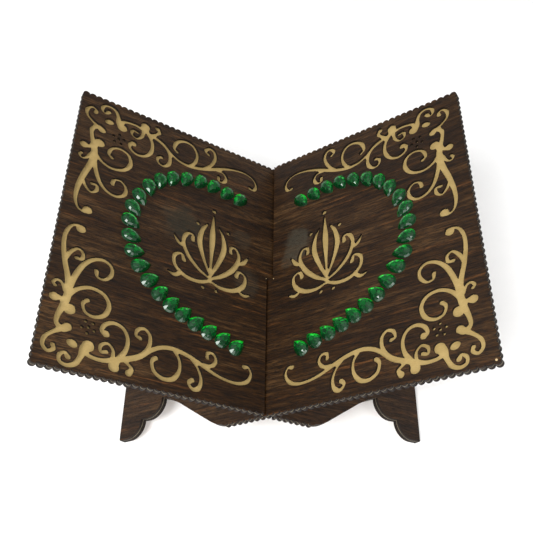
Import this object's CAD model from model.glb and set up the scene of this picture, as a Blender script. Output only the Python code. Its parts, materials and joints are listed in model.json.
"""Looks of a book stand: two fretted boards that cross in an X, scalloped and set with stones.

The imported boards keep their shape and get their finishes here. The stones are cut again with real
facets. Lengths are in millimetres inside the classes and in metres in the scene.
"""

from __future__ import annotations

import json
import logging
import math
import random
from dataclasses import dataclass
from enum import Enum
from typing import Any, Optional, Sequence, Union

import bmesh
import bpy
from mathutils import Matrix, Vector

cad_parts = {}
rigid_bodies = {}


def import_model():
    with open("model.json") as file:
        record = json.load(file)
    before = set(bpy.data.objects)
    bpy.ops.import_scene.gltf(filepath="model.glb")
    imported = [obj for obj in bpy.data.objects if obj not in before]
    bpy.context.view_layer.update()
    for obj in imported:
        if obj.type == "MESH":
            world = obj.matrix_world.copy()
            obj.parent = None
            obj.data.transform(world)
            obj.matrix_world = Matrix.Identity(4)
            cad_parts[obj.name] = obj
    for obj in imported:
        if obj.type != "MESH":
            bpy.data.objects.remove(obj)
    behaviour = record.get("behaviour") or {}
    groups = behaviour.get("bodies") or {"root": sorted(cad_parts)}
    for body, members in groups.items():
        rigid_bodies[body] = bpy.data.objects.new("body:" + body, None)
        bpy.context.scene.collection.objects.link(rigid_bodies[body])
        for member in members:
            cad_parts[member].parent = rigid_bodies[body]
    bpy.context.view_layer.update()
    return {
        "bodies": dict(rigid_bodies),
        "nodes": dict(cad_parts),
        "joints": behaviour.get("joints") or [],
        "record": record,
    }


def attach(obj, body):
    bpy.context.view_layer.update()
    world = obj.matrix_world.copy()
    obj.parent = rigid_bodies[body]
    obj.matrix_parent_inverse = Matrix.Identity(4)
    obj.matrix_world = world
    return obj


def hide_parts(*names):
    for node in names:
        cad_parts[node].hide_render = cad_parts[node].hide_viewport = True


log = logging.getLogger("book_stand")

MM = 0.001

Socket = bpy.types.NodeSocket
Value = Union[float, Sequence[float], Socket]
Colour = tuple[float, float, float, float]
Pitch = tuple[float, float, float]
Stops = Sequence[tuple[float, Colour]]


class Side(Enum):
    """The two boards, named after the wing that each one carries."""

    LEFT = "left"
    RIGHT = "right"


@dataclass(frozen=True)
class BoardFrame:
    """One board's flat frame: u out along its wing, v along the hinge, w out of its upper face."""

    side: Side
    hinge_height: float
    slope_deg: float = 32.5
    thickness: float = 8.0
    front_thickness: float = 3.0

    @property
    def top(self) -> float:
        """Height of the upper face above the middle of the board."""
        return self.thickness / 2

    @property
    def glue_line(self) -> float:
        """Height at which the front sheet meets the back sheet."""
        return self.top - self.front_thickness

    def to_row(self) -> Matrix:
        """Gives the matrix from board millimetres to row metres."""
        turn = math.pi if self.side is Side.LEFT else 0.0
        return (
            Matrix.Translation((0, 0, self.hinge_height))
            @ Matrix.Rotation(turn, 4, "Z")
            @ Matrix.Rotation(-math.radians(self.slope_deg), 4, "Y")
            @ Matrix.Scale(MM, 4)
        )


def set_stops(ramp: bpy.types.Node, stops: Stops) -> None:
    """Fills a colour ramp.

    Args:
        ramp: The ramp's node.
        stops: Positions and colours, in rising order.
    """
    elements = ramp.color_ramp.elements
    while len(elements) < len(stops):
        elements.new(0.5)
    for element, (position, colour) in zip(elements, stops):
        element.position = position
        element.color = colour


class Surface:
    """A node-based material under construction, with short calls for the shared nodes."""

    def __init__(self, name: str) -> None:
        """Starts an empty material.

        Args:
            name: The material's name.
        """
        self.material = bpy.data.materials.new(name)
        self.material.use_nodes = True
        self.tree = self.material.node_tree
        self.tree.nodes.clear()
        self.output = self.node("ShaderNodeOutputMaterial")

    def node(self, kind: str, **settings: Any) -> bpy.types.Node:
        """Adds a node.

        Args:
            kind: The node's type name.
            **settings: Attributes to set on it.

        Returns:
            The new node.
        """
        made = self.tree.nodes.new(kind)
        for key, value in settings.items():
            setattr(made, key, value)
        return made

    def feed(self, socket: Socket, value: Value) -> None:
        """Links a socket, or sets a plain value on one.

        Args:
            socket: The input to fill.
            value: Another node's output, or a number or colour.
        """
        if isinstance(value, bpy.types.NodeSocket):
            self.tree.links.new(value, socket)
        else:
            socket.default_value = value

    def math(self, operation: str, first: Value, second: Value = 0.0) -> Socket:
        """Combines two numbers.

        Args:
            operation: The Math node's operation.
            first: The first number.
            second: The second number, where the operation takes one.

        Returns:
            The result.
        """
        made = self.node("ShaderNodeMath", operation=operation)
        self.feed(made.inputs[0], first)
        self.feed(made.inputs[1], second)
        return made.outputs[0]

    def span(
        self, value: Value, low: float, high: float, start: float = 0.0, end: float = 1.0
    ) -> Socket:
        """Turns a range of a number smoothly into another range.

        Args:
            value: The number.
            low: Where the change starts.
            high: Where the change ends.
            start: The result at and below low.
            end: The result at and above high.

        Returns:
            The result.
        """
        made = self.node("ShaderNodeMapRange", interpolation_type="SMOOTHSTEP")
        for index, item in enumerate((value, low, high, start, end)):
            self.feed(made.inputs[index], item)
        return made.outputs[0]

    def mix(self, share: Value, first: Value, second: Value) -> Socket:
        """Mixes two colours.

        Args:
            share: How much of the second colour there is.
            first: The first colour.
            second: The second colour.

        Returns:
            The mixed colour.
        """
        return self._mixed("RGBA", "Color", share, first, second)

    def blend(self, share: Value, first: Value, second: Value) -> Socket:
        """Mixes two numbers.

        Args:
            share: How much of the second number there is.
            first: The first number.
            second: The second number.

        Returns:
            The mixed number.
        """
        return self._mixed("FLOAT", "Float", share, first, second)

    def _mixed(
        self, data_type: str, kind: str, share: Value, first: Value, second: Value
    ) -> Socket:
        """Adds a Mix node.

        Args:
            data_type: What the node mixes.
            kind: The ending of its sockets' identifiers for that.
            share: How much of the second value there is.
            first: The first value.
            second: The second value.

        Returns:
            The mixed value.
        """
        made = self.node("ShaderNodeMix", data_type=data_type)
        inputs = {port.identifier: port for port in made.inputs}
        self.feed(inputs["Factor_Float"], share)
        self.feed(inputs[f"A_{kind}"], first)
        self.feed(inputs[f"B_{kind}"], second)
        return next(port for port in made.outputs if port.identifier == f"Result_{kind}")

    def ramp(self, value: Value, stops: Stops) -> Socket:
        """Looks a number up in a row of colours.

        Args:
            value: The number, from 0 to 1.
            stops: Positions and colours, in rising order.

        Returns:
            The colour.
        """
        made = self.node("ShaderNodeValToRGB")
        set_stops(made, stops)
        self.feed(made.inputs[0], value)
        return made.outputs[0]

    def scaled(
        self, vector: Socket, scale: Sequence[float], shift: Sequence[float] = (0, 0, 0)
    ) -> Socket:
        """Scales and then moves a place.

        Args:
            vector: The place.
            scale: The factor along each axis.
            shift: The move along each axis.

        Returns:
            The scaled place.
        """
        made = self.node("ShaderNodeMapping")
        self.feed(made.inputs["Vector"], vector)
        made.inputs["Scale"].default_value = scale
        made.inputs["Location"].default_value = shift
        return made.outputs[0]

    def noise(
        self, vector: Socket, detail: float = 3.0, roughness: float = 0.55, warp: float = 0.0
    ) -> Socket:
        """Adds cloudy noise, with features about one unit across.

        Args:
            vector: The place, already scaled.
            detail: Number of finer layers.
            roughness: Strength of the finer layers.
            warp: How far the noise bends itself.

        Returns:
            The noise, from 0 to 1.
        """
        made = self.node("ShaderNodeTexNoise")
        self.feed(made.inputs["Vector"], vector)
        settings = {"Scale": 1.0, "Detail": detail, "Roughness": roughness, "Distortion": warp}
        for name, value in settings.items():
            made.inputs[name].default_value = value
        return made.outputs[0]

    def bump(self, height: Socket, depth: float, strength: float = 1.0) -> Socket:
        """Turns a height into a normal.

        Args:
            height: The height, from 0 to 1.
            depth: The real depth that 1 stands for, in millimetres.
            strength: How much of it shows.

        Returns:
            The normal.
        """
        made = self.node("ShaderNodeBump")
        made.inputs["Strength"].default_value = strength
        made.inputs["Distance"].default_value = depth * MM
        self.feed(made.inputs["Height"], height)
        return made.outputs[0]

    def finish(self, **inputs: Value) -> bpy.types.Material:
        """Closes the material with its shader.

        Args:
            **inputs: Shader inputs, with underscores for the spaces in their names.

        Returns:
            The finished material.
        """
        shader = self.node("ShaderNodeBsdfPrincipled")
        for key, value in inputs.items():
            self.feed(shader.inputs[key.replace("_", " ")], value)
        self.tree.links.new(shader.outputs[0], self.output.inputs[0])
        return self.material


@dataclass(frozen=True)
class BoardPlace:
    """Where a shading point lies on a board, as sockets."""

    surface: Surface
    point: Socket
    u: Socket
    v: Socket
    w: Socket
    facing: Socket

    @classmethod
    def of(cls, surface: Surface, frame: BoardFrame) -> "BoardPlace":
        """Adds the nodes that turn object coordinates into board millimetres.

        Args:
            surface: The material being built.
            frame: The board's frame.

        Returns:
            The place, with facing as the normal's share along the upper face's normal.
        """
        back = frame.to_row().inverted()
        coordinates = surface.node("ShaderNodeTexCoord")
        to_board = surface.node("ShaderNodeMapping", vector_type="POINT")
        to_board.inputs["Location"].default_value = back.to_translation()
        to_board.inputs["Rotation"].default_value = back.to_euler()
        to_board.inputs["Scale"].default_value = back.to_scale()
        surface.feed(to_board.inputs["Vector"], coordinates.outputs["Object"])
        turn = surface.node("ShaderNodeMapping", vector_type="VECTOR")
        turn.inputs["Rotation"].default_value = back.to_euler()
        surface.feed(turn.inputs["Vector"], coordinates.outputs["Normal"])
        parts = surface.node("ShaderNodeSeparateXYZ")
        surface.feed(parts.inputs[0], to_board.outputs[0])
        normal = surface.node("ShaderNodeSeparateXYZ")
        surface.feed(normal.inputs[0], turn.outputs[0])
        u, v, w = parts.outputs
        return cls(surface, to_board.outputs[0], u, v, w, normal.outputs[2])

    def noise(
        self,
        pitch: Pitch,
        shift: float,
        detail: float = 3.0,
        roughness: float = 0.55,
        warp: float = 0.0,
    ) -> Socket:
        """Adds cloudy noise with a given length of feature along each of the board's axes.

        Args:
            pitch: Length of one feature along u, v and w, in millimetres.
            shift: A move of the pattern, which makes it independent of the others.
            detail: Number of finer layers.
            roughness: Strength of the finer layers.
            warp: How far the noise bends itself.

        Returns:
            The noise, from 0 to 1.
        """
        scale = [1 / length for length in pitch]
        place = self.surface.scaled(self.point, scale, (shift, shift * 0.7, shift * 1.3))
        return self.surface.noise(place, detail, roughness, warp)


@dataclass(frozen=True)
class Coat:
    """What one finish gives the shader, as sockets."""

    colour: Socket
    roughness: Socket
    height: Socket


@dataclass(frozen=True)
class Smudge:
    """A patch of dried glue on the film, with soft and broken edges."""

    u: float
    v: float
    half_u: float
    half_v: float
    colour: Colour
    strength: float


@dataclass(frozen=True)
class Chip:
    """A small place where the dark film has chipped off."""

    u: float
    v: float
    radius: float


@dataclass(frozen=True)
class WalnutFilm:
    """Dark walnut-look film, with its grain running out from the hinge.

    It has soft clouds and bands, thin reddish streaks, short crisp fibres and open pores. Each pitch
    is the length of one feature along the board's u, v and w.
    """

    dark: Colour = (0.0070, 0.0030, 0.0011, 1)
    middle: Colour = (0.0175, 0.0074, 0.0019, 1)
    light: Colour = (0.0480, 0.0245, 0.0090, 1)
    reddish: Colour = (0.095, 0.036, 0.009, 1)
    pore: Colour = (0.004, 0.002, 0.0012, 1)
    bare: Colour = (0.45, 0.33, 0.17, 1)
    cloud_pitch: Pitch = (150, 26, 26)
    band_pitch: Pitch = (70, 3.6, 3.6)
    streak_pitch: Pitch = (130, 5, 5)
    fibre_pitch: Pitch = (12, 1.0, 1.0)
    pore_pitch: Pitch = (4.5, 0.55, 0.55)
    smudge_pitch: Pitch = (13, 11, 11)
    rub_pitch: Pitch = (2.2, 1.1, 1.1)

    def lay(
        self,
        surface: Surface,
        place: BoardPlace,
        smudges: Sequence[Smudge],
        chips: Sequence[Chip],
        seed: float,
    ) -> Coat:
        """Adds the film's nodes.

        Args:
            surface: The material being built.
            place: Where the shading point lies.
            smudges: Glue patches on this board.
            chips: Chipped spots on this board.
            seed: Shift of the grain, so that the two boards differ.

        Returns:
            The film's colour, roughness and height.
        """
        wide = place.noise(self.cloud_pitch, seed, detail=2, roughness=0.5, warp=0.4)
        bands = place.noise(self.band_pitch, seed + 3, detail=4, roughness=0.6, warp=0.35)
        fibres = place.noise(self.fibre_pitch, seed + 7, detail=4, roughness=0.72, warp=0.15)
        cells = place.noise(self.pore_pitch, seed + 11, detail=2, roughness=0.6)
        tone = surface.blend(0.55, wide, bands)
        colour = surface.ramp(tone, ((0.34, self.dark), (0.5, self.middle), (0.68, self.light)))
        warm = place.noise(self.streak_pitch, seed + 19, roughness=0.62, warp=0.2)
        colour = surface.mix(surface.span(warm, 0.56, 0.74, 0, 0.45), colour, self.reddish)
        shade = surface.node("ShaderNodeHueSaturation")
        surface.feed(shade.inputs["Color"], colour)
        surface.feed(shade.inputs["Value"], surface.span(fibres, 0.36, 0.64, 0.30, 1.95))
        open_pore = surface.span(cells, 0.58, 0.66)
        colour = surface.mix(surface.math("MULTIPLY", open_pore, 0.8), shade.outputs[0], self.pore)
        roughness = surface.span(fibres, 0.3, 0.75, 0.55, 0.42)
        for patch in smudges:
            mask = self._patch(surface, place, patch, seed)
            colour = surface.mix(mask, colour, patch.colour)
            roughness = surface.math("ADD", roughness, surface.math("MULTIPLY", mask, 0.25))
        for chip in chips:
            away = self._distance(surface, place, chip.u, chip.v, chip.radius, chip.radius)
            colour = surface.mix(surface.span(away, 0.7, 1.0, 1, 0), colour, self.bare)
        height = surface.math("SUBTRACT", fibres, surface.math("MULTIPLY", open_pore, 0.8))
        return Coat(colour, roughness, height)

    @staticmethod
    def _distance(
        surface: Surface, place: BoardPlace, u: float, v: float, half_u: float, half_v: float
    ) -> Socket:
        """Measures how far a point is from an ellipse's middle, as a share of the ellipse.

        Args:
            surface: The material being built.
            place: Where the shading point lies.
            u: The ellipse's middle along the wing.
            v: The ellipse's middle along the hinge.
            half_u: Half the ellipse's length along the wing.
            half_v: Half the ellipse's length along the hinge.

        Returns:
            0 in the middle and 1 on the ellipse.
        """
        across = surface.math("DIVIDE", surface.math("SUBTRACT", place.u, u), half_u)
        along = surface.math("DIVIDE", surface.math("SUBTRACT", place.v, v), half_v)
        squares = [surface.math("MULTIPLY", share, share) for share in (across, along)]
        return surface.math("SQRT", surface.math("ADD", *squares))

    def _patch(self, surface: Surface, place: BoardPlace, patch: Smudge, seed: float) -> Socket:
        """Adds the mask of one smudge, broken up by rubbed streaks.

        Args:
            surface: The material being built.
            place: Where the shading point lies.
            patch: The smudge.
            seed: Shift of its streaks.

        Returns:
            How much of the smudge shows.
        """
        away = self._distance(surface, place, patch.u, patch.v, patch.half_u, patch.half_v)
        edge = place.noise(self.smudge_pitch, seed + 23)
        body = surface.span(surface.math("ADD", away, edge), 1.15, 1.6, 1, 0)
        rubbed = place.noise(self.rub_pitch, seed + 29, roughness=0.7)
        broken = surface.span(rubbed, 0.35, 0.65, 0.35, 1)
        return surface.math("MULTIPLY", surface.math("MULTIPLY", body, broken), patch.strength)


@dataclass(frozen=True)
class GoldFilm:
    """Pale gold film on the back sheet, with a faint fine grain along the board."""

    pale: Colour = (0.50, 0.360, 0.145, 1)
    deep: Colour = (0.34, 0.235, 0.085, 1)
    drift_pitch: Pitch = (30, 14, 14)
    grain_pitch: Pitch = (2.4, 0.35, 0.35)

    def lay(self, surface: Surface, place: BoardPlace, seed: float) -> Coat:
        """Adds the film's nodes.

        Args:
            surface: The material being built.
            place: Where the shading point lies.
            seed: Shift of the pattern.

        Returns:
            The film's colour, roughness and height.
        """
        drift = place.noise(self.drift_pitch, seed, detail=2)
        grain = place.noise(self.grain_pitch, seed + 5, roughness=0.7)
        tone = surface.blend(0.6, drift, grain)
        colour = surface.ramp(tone, ((0.32, self.deep), (0.62, self.pale)))
        return Coat(colour, surface.span(grain, 0.3, 0.7, 0.34, 0.5), grain)


@dataclass(frozen=True)
class BurntCut:
    """The laser-cut wall of a sheet: charred brown to black, with fine upright cut marks.

    The back sheet's wall also shows the edge of its film as a thin pale line.
    """

    char: Colour = (0.0035, 0.0025, 0.002, 1)
    brown: Colour = (0.021, 0.012, 0.008, 1)
    line: Colour = (0.19, 0.16, 0.105, 1)
    line_width: float = 0.6
    mark_pitch: Pitch = (0.45, 0.45, 6)
    soot_pitch: Pitch = (9, 9, 2.5)

    def lay(
        self, surface: Surface, place: BoardPlace, seed: float, line_at: Optional[float] = None
    ) -> Coat:
        """Adds the cut wall's nodes.

        Args:
            surface: The material being built.
            place: Where the shading point lies.
            seed: Shift of the pattern.
            line_at: Height of the pale line of film on the wall, where it has one.

        Returns:
            The wall's colour, roughness and height.
        """
        marks = place.noise(self.mark_pitch, seed, roughness=0.65)
        soot = place.noise(self.soot_pitch, seed + 2)
        both = surface.math("MULTIPLY", surface.math("ADD", marks, soot), 0.5)
        colour = surface.ramp(both, ((0.38, self.char), (0.66, self.brown)))
        if line_at is not None:
            off = surface.math("ABSOLUTE", surface.math("SUBTRACT", place.w, line_at))
            worn = surface.span(soot, 0.3, 0.6, 0.5, 1)
            near = surface.span(off, self.line_width * 0.35, self.line_width * 0.65, 1, 0)
            colour = surface.mix(surface.math("MULTIPLY", near, worn), colour, self.line)
        return Coat(colour, surface.span(marks, 0.3, 0.7, 0.6, 0.9), marks)


@dataclass(frozen=True)
class RawFibreboard:
    """The bare underside of the back sheet: fine tan felted fibre with clouds of cutting smoke."""

    fibre: Colour = (0.27, 0.165, 0.088, 1)
    fleck: Colour = (0.155, 0.088, 0.044, 1)
    smoke: Colour = (0.035, 0.020, 0.012, 1)
    half_length: float = 144.0
    wing_end: float = 217.0
    smoke_reach: float = 9.0
    fibre_pitch: Pitch = (0.9, 0.9, 0.9)
    cloud_pitch: Pitch = (40, 40, 40)

    def lay(self, surface: Surface, place: BoardPlace, seed: float) -> Coat:
        """Adds the bare board's nodes.

        Args:
            surface: The material being built.
            place: Where the shading point lies.
            seed: Shift of the pattern.

        Returns:
            The board's colour, roughness and height.
        """
        fine = place.noise(self.fibre_pitch, seed, detail=4, roughness=0.75)
        cloud = place.noise(self.cloud_pitch, seed + 4)
        colour = surface.ramp(fine, ((0.35, self.fleck), (0.6, self.fibre)))
        end, outer = (
            surface.span(place_along, edge - self.smoke_reach, edge + 2)
            for place_along, edge in (
                (surface.math("ABSOLUTE", place.v), self.half_length),
                (place.u, self.wing_end),
            )
        )
        puffs = surface.span(cloud, 0.3, 0.6, 0.35, 0.9)
        smoked = surface.math("MULTIPLY", surface.math("MAXIMUM", end, outer), puffs)
        smoked = surface.math("MAXIMUM", smoked, surface.span(cloud, 0.5, 0.8, 0, 0.45))
        colour = surface.mix(smoked, colour, self.smoke)
        return Coat(colour, surface.span(fine, 0.3, 0.7, 0.75, 0.95), fine)


@dataclass(frozen=True)
class FoilBackedStone:
    """Emerald-green cut stone over silver foil.

    Each facet has its own depth of green, and all of them lie under one clear polish.
    """

    deep: Colour = (0.0, 0.024, 0.005, 1)
    green: Colour = (0.0, 0.135, 0.018, 1)
    bright: Colour = (0.001, 0.72, 0.035, 1)
    foil: Colour = (0.12, 0.17, 0.12, 1)
    inner_facet: float = 2.6
    inner_share: float = 0.16

    def build(self) -> bpy.types.Material:
        """Builds the stone's material.

        Returns:
            The material, which reads each facet's tone from the stone's own colours.
        """
        surface = Surface("emerald_stone")
        tone = surface.node("ShaderNodeVertexColor", layer_name=PearStone.TONE)
        parts = surface.node("ShaderNodeSeparateColor")
        surface.feed(parts.inputs[0], tone.outputs[0])
        coordinates = surface.node("ShaderNodeTexCoord")
        pitch = self.inner_facet * MM
        inner = surface.node("ShaderNodeTexVoronoi")
        place = surface.scaled(coordinates.outputs["Object"], [1 / pitch] * 3)
        surface.feed(inner.inputs["Vector"], place)
        cell = surface.node("ShaderNodeSeparateColor")
        surface.feed(cell.inputs[0], inner.outputs["Color"])
        depth = surface.blend(self.inner_share, parts.outputs[0], cell.outputs[0])
        colour = surface.ramp(depth, ((0.15, self.deep), (0.50, self.green), (0.86, self.bright)))
        colour = surface.mix(parts.outputs[1], colour, self.foil)
        return surface.finish(
            Base_Color=colour,
            Metallic=0.2,
            Roughness=0.25,
            Specular_IOR_Level=0.05,
            Coat_Weight=0.75,
            Coat_Roughness=0.02,
            Coat_IOR=1.5,
        )


@dataclass(frozen=True)
class StudioFloor:
    """Plain, very pale, matte studio paper."""

    pale: Colour = (0.93, 0.93, 0.925, 1)
    shade: Colour = (0.90, 0.90, 0.895, 1)
    fibres_per_metre: float = 60.0

    def build(self) -> bpy.types.Material:
        """Builds the paper's material."""
        surface = Surface("studio_paper")
        coordinates = surface.node("ShaderNodeTexCoord")
        place = surface.scaled(coordinates.outputs["Object"], [self.fibres_per_metre] * 3)
        fibre = surface.noise(place, detail=4)
        return surface.finish(Base_Color=surface.mix(fibre, self.shade, self.pale), Roughness=0.9)


@dataclass
class Board:
    """One board of the stand: a fretted walnut front sheet glued on a gold-faced back sheet."""

    frame: BoardFrame
    smudges: tuple[Smudge, ...] = ()
    chips: tuple[Chip, ...] = ()
    seed: float = 0.0
    rim_radius: float = 0.32
    sharp_deg: float = 70.0
    front_relief: float = 0.12
    back_relief: float = 0.08
    front_facing: tuple[float, float] = (0.76, 0.93)
    back_facing: tuple[float, float] = (0.55, 0.80)
    film: WalnutFilm = WalnutFilm()
    gold: GoldFilm = GoldFilm()
    cut: BurntCut = BurntCut()
    bare: RawFibreboard = RawFibreboard()

    @property
    def name(self) -> str:
        """The start of this board's node names."""
        return f"{self.frame.side.value}_board"

    def dress(self, nodes: dict[str, bpy.types.Object]) -> None:
        """Gives both sheets their finishes.

        Args:
            nodes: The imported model's nodes by name.
        """
        sheets = {"front_sheet": self.front_material(), "back_sheet": self.back_material()}
        for sheet, material in sheets.items():
            node = nodes[f"{self.name}_{sheet}"]
            node.data.materials.clear()
            node.data.materials.append(material)
            self._soften(node)
            log.info("%s: %s", node.name, material.name)

    def _soften(self, node: bpy.types.Object) -> None:
        """Rounds the sheet's rims a little, as handling and the film do.

        Args:
            node: The sheet's object.
        """
        rim = node.modifiers.new("rim", "BEVEL")
        rim.width = self.rim_radius * MM
        rim.segments = 2
        rim.limit_method = "ANGLE"
        rim.angle_limit = math.radians(self.sharp_deg)

    def front_material(self) -> bpy.types.Material:
        """Builds the front sheet's material: film on its upper face and burnt walls."""
        surface = Surface(f"{self.name}_walnut")
        place = BoardPlace.of(surface, self.frame)
        film = self.film.lay(surface, place, self.smudges, self.chips, self.seed)
        wall = self.cut.lay(surface, place, self.seed)
        upper = surface.span(place.facing, *self.front_facing)
        height = surface.blend(upper, wall.height, film.height)
        return surface.finish(
            Base_Color=surface.mix(upper, wall.colour, film.colour),
            Roughness=surface.blend(upper, wall.roughness, film.roughness),
            Normal=surface.bump(height, self.front_relief, 0.6),
            Specular_IOR_Level=0.2,
        )

    def back_material(self) -> bpy.types.Material:
        """Builds the back sheet's material: gold above, burnt walls, bare fibreboard below."""
        surface = Surface(f"{self.name}_gold")
        place = BoardPlace.of(surface, self.frame)
        gold = self.gold.lay(surface, place, self.seed)
        film_edge = self.frame.glue_line - self.cut.line_width / 2
        wall = self.cut.lay(surface, place, self.seed + 1, film_edge)
        under = self.bare.lay(surface, place, self.seed)
        flat, full = self.back_facing
        upper = surface.span(place.facing, flat, full)
        lower = surface.span(place.facing, -full, -flat, 1, 0)
        colour = surface.mix(lower, surface.mix(upper, wall.colour, gold.colour), under.colour)
        roughness = surface.blend(upper, wall.roughness, gold.roughness)
        roughness = surface.blend(lower, roughness, under.roughness)
        height = surface.blend(upper, wall.height, gold.height)
        height = surface.blend(lower, height, under.height)
        return surface.finish(
            Base_Color=colour,
            Roughness=roughness,
            Metallic=surface.math("MULTIPLY", upper, 0.3),
            Normal=surface.bump(height, self.back_relief, 0.5),
            Specular_IOR_Level=0.2,
        )


@dataclass(frozen=True)
class StoneSeat:
    """Where a stone sits on its board, in board millimetres: its middle and its tip's direction."""

    RIM_BAND = 0.05

    middle: Vector
    along: Vector
    length: float
    width: float
    height: float

    @classmethod
    def of(cls, node: bpy.types.Object, frame: BoardFrame) -> "StoneSeat":
        """Reads a stone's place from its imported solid.

        Args:
            node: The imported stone.
            frame: The frame of the board it sits on.

        Returns:
            The seat.
        """
        back = frame.to_row().inverted()
        points = [back @ vertex.co for vertex in node.data.vertices]
        low = min(point.z for point in points)
        rim = [point for point in points if point.z < low + cls.RIM_BAND]
        heart = sum(rim, Vector()) / len(rim)
        tip = max(rim, key=lambda point: (point - heart).length)
        along = (tip - heart).normalized()
        across = Vector((-along.y, along.x, 0))
        reach = [(point - heart).dot(along) for point in rim]
        spread = [(point - heart).dot(across) for point in rim]
        middle = heart + along * (max(reach) + min(reach)) / 2
        middle += across * (max(spread) + min(spread)) / 2
        height = max(point.z for point in points) - low
        return cls(middle, along, max(reach) - min(reach), max(spread) - min(spread), height)


@dataclass
class PearStone:
    """A pear-shaped stone with a flat back: a foil skirt, four rows of facets and a flat table.

    Each row is a ring's share of the outline, its share of the height, and its shift in steps.
    """

    TONE = "facet_tone"

    seat: StoneSeat
    name: str
    points: int = 18
    skirt_foil: float = 0.5
    wobble_deg: float = 2.5
    middle_tone: float = 0.50
    far_gain: float = 0.62
    tip_gain: float = 0.20
    tone_spread: tuple[float, float] = (-0.20, 0.22)
    rows: tuple[tuple[float, float, float], ...] = (
        (1.0, 0.20, 0.0),
        (0.87, 0.50, 0.0),
        (0.66, 0.83, 0.5),
        (0.40, 0.98, 0.5),
        (0.24, 1.0, 0.0),
    )

    def build(self, frame: BoardFrame, chance: random.Random) -> bpy.types.Object:
        """Cuts the stone.

        Args:
            frame: The frame of the board it sits on.
            chance: Source of the small differences between stones.

        Returns:
            The stone's object, in row metres.
        """
        mesh = bpy.data.meshes.new(self.name)
        shape = bmesh.new()
        tone = shape.loops.layers.color.new(self.TONE)
        rings = [(self._ring(shape, 1.0, 0.0, 0.0), 0.0)]
        for share, level, phase in self.rows:
            rings.append((self._ring(shape, share, self.seat.height * level, phase), phase))
        for (low, low_phase), (high, high_phase) in zip(rings, rings[1:]):
            self._join(shape, low, high, shift=low_phase != high_phase)
        shape.faces.new(rings[-1][0])
        bmesh.ops.recalc_face_normals(shape, faces=shape.faces)
        skirt_top = self.seat.height * self.rows[0][1] * 0.9
        along, middle = self.seat.along, self.seat.middle
        far = Vector((along.y, along.x, 0)) * (-1 if frame.side is Side.LEFT else 1)
        for face in shape.faces:
            foil = self.skirt_foil if face.calc_center_median().z < skirt_top else 0.0
            depth = self._depth(face, far, chance)
            for loop in face.loops:
                loop[tone] = (depth, foil, 0, 1)
        shape.to_mesh(mesh)
        shape.free()
        wobble = chance.uniform(-self.wobble_deg, self.wobble_deg)
        spin = Matrix.Rotation(math.atan2(along.y, along.x), 4, "Z")
        spin = Matrix.Translation(middle) @ spin @ Matrix.Rotation(math.radians(wobble), 4, "Z")
        mesh.transform(frame.to_row() @ spin)
        stone = bpy.data.objects.new(self.name, mesh)
        bpy.context.scene.collection.objects.link(stone)
        return stone

    def _depth(self, face: bmesh.types.BMFace, far: Vector, chance: random.Random) -> float:
        """Chooses how bright a facet's green is: light gathers under the far side and the tip.

        Args:
            face: The facet.
            far: The direction of the stand's far end, in the stone's own frame.
            chance: Source of the differences.

        Returns:
            The tone, from 0 to 1.
        """
        lean = self.far_gain * face.normal.dot(far) + self.tip_gain * face.normal.x
        return min(1.0, max(0.0, self.middle_tone + lean + chance.uniform(*self.tone_spread)))

    def _ring(
        self, shape: bmesh.types.BMesh, share: float, height: float, phase: float
    ) -> list[bmesh.types.BMVert]:
        """Adds one ring of corners, a smaller copy of the pear outline.

        Args:
            shape: The stone being built.
            share: Size of the ring as a share of the whole outline.
            height: Height above the board.
            phase: Shift of the corners, in steps.

        Returns:
            The ring's corners, from the tip round.
        """
        turns = [(index + phase) / self.points for index in range(self.points)]
        return [
            shape.verts.new((x * share, y * share, height)) for x, y in map(self._outline, turns)
        ]

    def _outline(self, turn: float) -> tuple[float, float]:
        """Gives a point of the pear outline.

        Args:
            turn: How far round from the tip, from 0 to 1.

        Returns:
            The point, with the tip along +x.
        """
        radius = self.seat.width / 2
        reach = self.seat.length - radius
        bow = (reach**2 + radius**2) / (2 * radius)
        sweep = math.asin(reach / bow)
        side, bend = bow * sweep, radius * math.pi / 2
        way = (turn % 1.0) * 2 * (side + bend)
        mirror = 1
        if way > side + bend:
            way, mirror = 2 * (side + bend) - way, -1
        if way < side:
            angle = sweep * (1 - way / side)
            x, y = bow * math.sin(angle), bow * math.cos(angle) - bow + radius
        else:
            angle = math.pi / 2 + (way - side) / radius
            x, y = radius * math.cos(angle), radius * math.sin(angle)
        return x + radius - self.seat.length / 2, mirror * y

    def _join(
        self,
        shape: bmesh.types.BMesh,
        low: list[bmesh.types.BMVert],
        high: list[bmesh.types.BMVert],
        shift: bool,
    ) -> None:
        """Fills the band between two rings with facets.

        Args:
            shape: The stone being built.
            low: The lower ring.
            high: The upper ring.
            shift: Whether the rings are half a step apart, which gives triangles instead of quads.
        """
        count = len(low)
        for index in range(count):
            after = (index + 1) % count
            if shift:
                shape.faces.new((low[index], low[after], high[index]))
                shape.faces.new((low[after], high[after], high[index]))
            else:
                shape.faces.new((low[index], low[after], high[after], high[index]))


@dataclass
class StoneArch:
    """The arch of stones on one wing."""

    frame: BoardFrame
    seed: int

    def build(self, nodes: dict[str, bpy.types.Object], material: bpy.types.Material) -> int:
        """Cuts every stone of the arch and puts it in its solid's place.

        Args:
            nodes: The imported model's nodes by name.
            material: The stones' material.

        Returns:
            The number of stones.
        """
        side = self.frame.side.value
        chance = random.Random(self.seed)
        names = sorted(name for name in nodes if name.startswith(f"{side}_gem_"))
        for name in names:
            stone = PearStone(StoneSeat.of(nodes[name], self.frame), name.replace("gem", "stone"))
            made = stone.build(self.frame, chance)
            made.data.materials.append(material)
            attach(made, f"{side}_board")
            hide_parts(name)
            log.info("%s replaces %s", made.name, name)
        return len(names)


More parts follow.
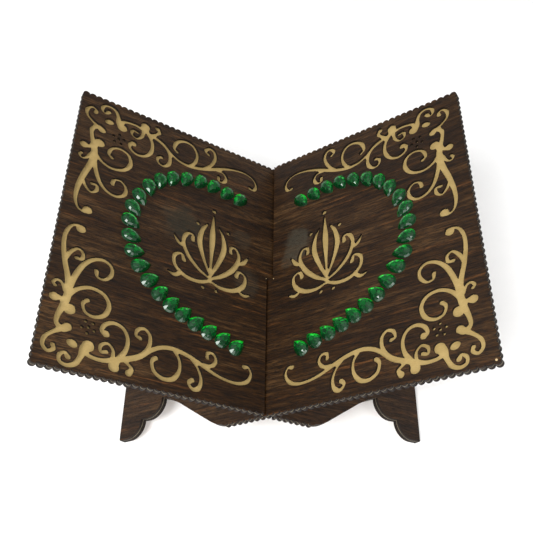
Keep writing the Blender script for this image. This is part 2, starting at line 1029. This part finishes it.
@dataclass
class AreaLamp:
    """A square soft light that looks at the stand."""

    name: str
    place: tuple[float, float, float]
    size: float
    power: float
    target: tuple[float, float, float] = (0.0, 0.0, 0.15)

    def build(self) -> bpy.types.Object:
        """Adds the lamp to the scene."""
        data = bpy.data.lights.new(self.name, "AREA")
        data.shape = "SQUARE"
        data.size = self.size
        data.energy = self.power
        lamp = bpy.data.objects.new(self.name, data)
        lamp.location = self.place
        aim = Vector(self.target) - Vector(self.place)
        lamp.rotation_euler = aim.to_track_quat("-Z", "Y").to_euler()
        bpy.context.scene.collection.objects.link(lamp)
        return lamp


@dataclass
class Studio:
    """The camera, the lights and the floor."""

    camera_place: tuple[float, float, float] = (0.0135, -0.3726, 0.7177)
    camera_turn_deg: tuple[float, float, float] = (30.09, 0.0, 0.19)
    lens: float = 47.05
    sensor: float = 36.0
    shift: tuple[float, float] = (-0.0288, 0.0538)
    floor_half: float = 1.2
    lamps: tuple[AreaLamp, ...] = (
        AreaLamp("left_key", (-0.55, -0.75, 1.55), 0.66, 27.0),
        AreaLamp("right_key", (0.60, -0.80, 1.50), 0.5, 6.0),
        AreaLamp("top", (0.0, 0.25, 1.9), 2.4, 8.0),
        AreaLamp("front", (0.1, -1.0, 0.55), 0.7, 6.0),
    )
    room: Stops = (
        (0.0, (0.95, 0.95, 0.95, 1)),
        (0.12, (0.85, 0.85, 0.85, 1)),
        (0.42, (0.33, 0.33, 0.33, 1)),
        (0.75, (0.33, 0.33, 0.33, 1)),
        (1.0, (0.80, 0.80, 0.80, 1)),
    )
    floor: StudioFloor = StudioFloor()

    def build(self) -> None:
        """Sets the whole studio up."""
        self._camera()
        self._world()
        self._floor()
        for lamp in self.lamps:
            lamp.build()
            log.info("lamp %s", lamp.name)
        bpy.context.scene.view_settings.view_transform = "Standard"

    def _camera(self) -> None:
        """Puts the camera above and in front of the stand."""
        data = bpy.data.cameras.new("camera")
        data.lens, data.sensor_width = self.lens, self.sensor
        data.shift_x, data.shift_y = self.shift
        data.clip_start, data.clip_end = 0.01, 50
        camera = bpy.data.objects.new("camera", data)
        camera.location = self.camera_place
        camera.rotation_euler = [math.radians(turn) for turn in self.camera_turn_deg]
        bpy.context.scene.collection.objects.link(camera)
        bpy.context.scene.camera = camera

    def _world(self) -> None:
        """Lights the room from all round: bright low down like a white sweep, and dimmer above."""
        world = bpy.data.worlds.new("room")
        world.use_nodes = True
        tree = world.node_tree
        tree.nodes.clear()
        coordinates = tree.nodes.new("ShaderNodeTexCoord")
        parts = tree.nodes.new("ShaderNodeSeparateXYZ")
        ramp = tree.nodes.new("ShaderNodeValToRGB")
        set_stops(ramp, self.room)
        background = tree.nodes.new("ShaderNodeBackground")
        output = tree.nodes.new("ShaderNodeOutputWorld")
        tree.links.new(coordinates.outputs["Generated"], parts.inputs[0])
        tree.links.new(parts.outputs[2], ramp.inputs[0])
        tree.links.new(ramp.outputs[0], background.inputs[0])
        tree.links.new(background.outputs[0], output.inputs[0])
        bpy.context.scene.world = world

    def _floor(self) -> None:
        """Lays the floor that the stand's feet touch."""
        half = self.floor_half
        mesh = bpy.data.meshes.new("floor")
        around = [(-half, -half, 0), (half, -half, 0), (half, half, 0), (-half, half, 0)]
        mesh.from_pydata(around, [], [(0, 1, 2, 3)])
        floor = bpy.data.objects.new("floor", mesh)
        mesh.materials.append(self.floor.build())
        bpy.context.scene.collection.objects.link(floor)


@dataclass
class BookStand:
    """The whole stand: two boards, each with its arch of stones."""

    hinge_height: float
    dark_glue: Colour = (0.009, 0.009, 0.005, 1)
    dull_glue: Colour = (0.050, 0.044, 0.030, 1)

    def build(self, nodes: dict[str, bpy.types.Object]) -> None:
        """Dresses the boards and sets the stones.

        Args:
            nodes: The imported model's nodes by name.
        """
        left = BoardFrame(Side.LEFT, self.hinge_height)
        right = BoardFrame(Side.RIGHT, self.hinge_height)
        Board(
            left,
            smudges=(
                Smudge(102, -30, 19, 19, self.dark_glue, 0.8),
                Smudge(104, -30, 25, 26, self.dull_glue, 0.22),
                Smudge(30, 14, 15, 18, self.dull_glue, 0.30),
                Smudge(36, -36, 12, 12, self.dull_glue, 0.25),
            ),
            chips=(Chip(7.0, 1.0, 0.6),),
            seed=2.0,
        ).dress(nodes)
        Board(
            right,
            smudges=(
                Smudge(36, 32, 17, 20, self.dull_glue, 0.75),
                Smudge(24, 14, 10, 9, self.dull_glue, 0.4),
            ),
            chips=(Chip(216.2, -143.2, 1.2), Chip(7.0, -1.0, 0.6)),
            seed=41.0,
        ).dress(nodes)
        emerald = FoilBackedStone().build()
        for frame, seed in ((left, 5), (right, 9)):
            count = StoneArch(frame, seed).build(nodes, emerald)
            log.info("%s wing: %d stones", frame.side.value, count)


def main() -> None:
    """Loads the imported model, builds the looks around it and notes both sizes."""
    logging.basicConfig(level=logging.INFO, format="%(name)s: %(message)s")
    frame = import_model()
    hinge = frame["joints"][0]
    Studio().build()
    BookStand(hinge_height=hinge["pos_m"][2]).build(frame["nodes"])


if __name__ == "__main__":
    main()
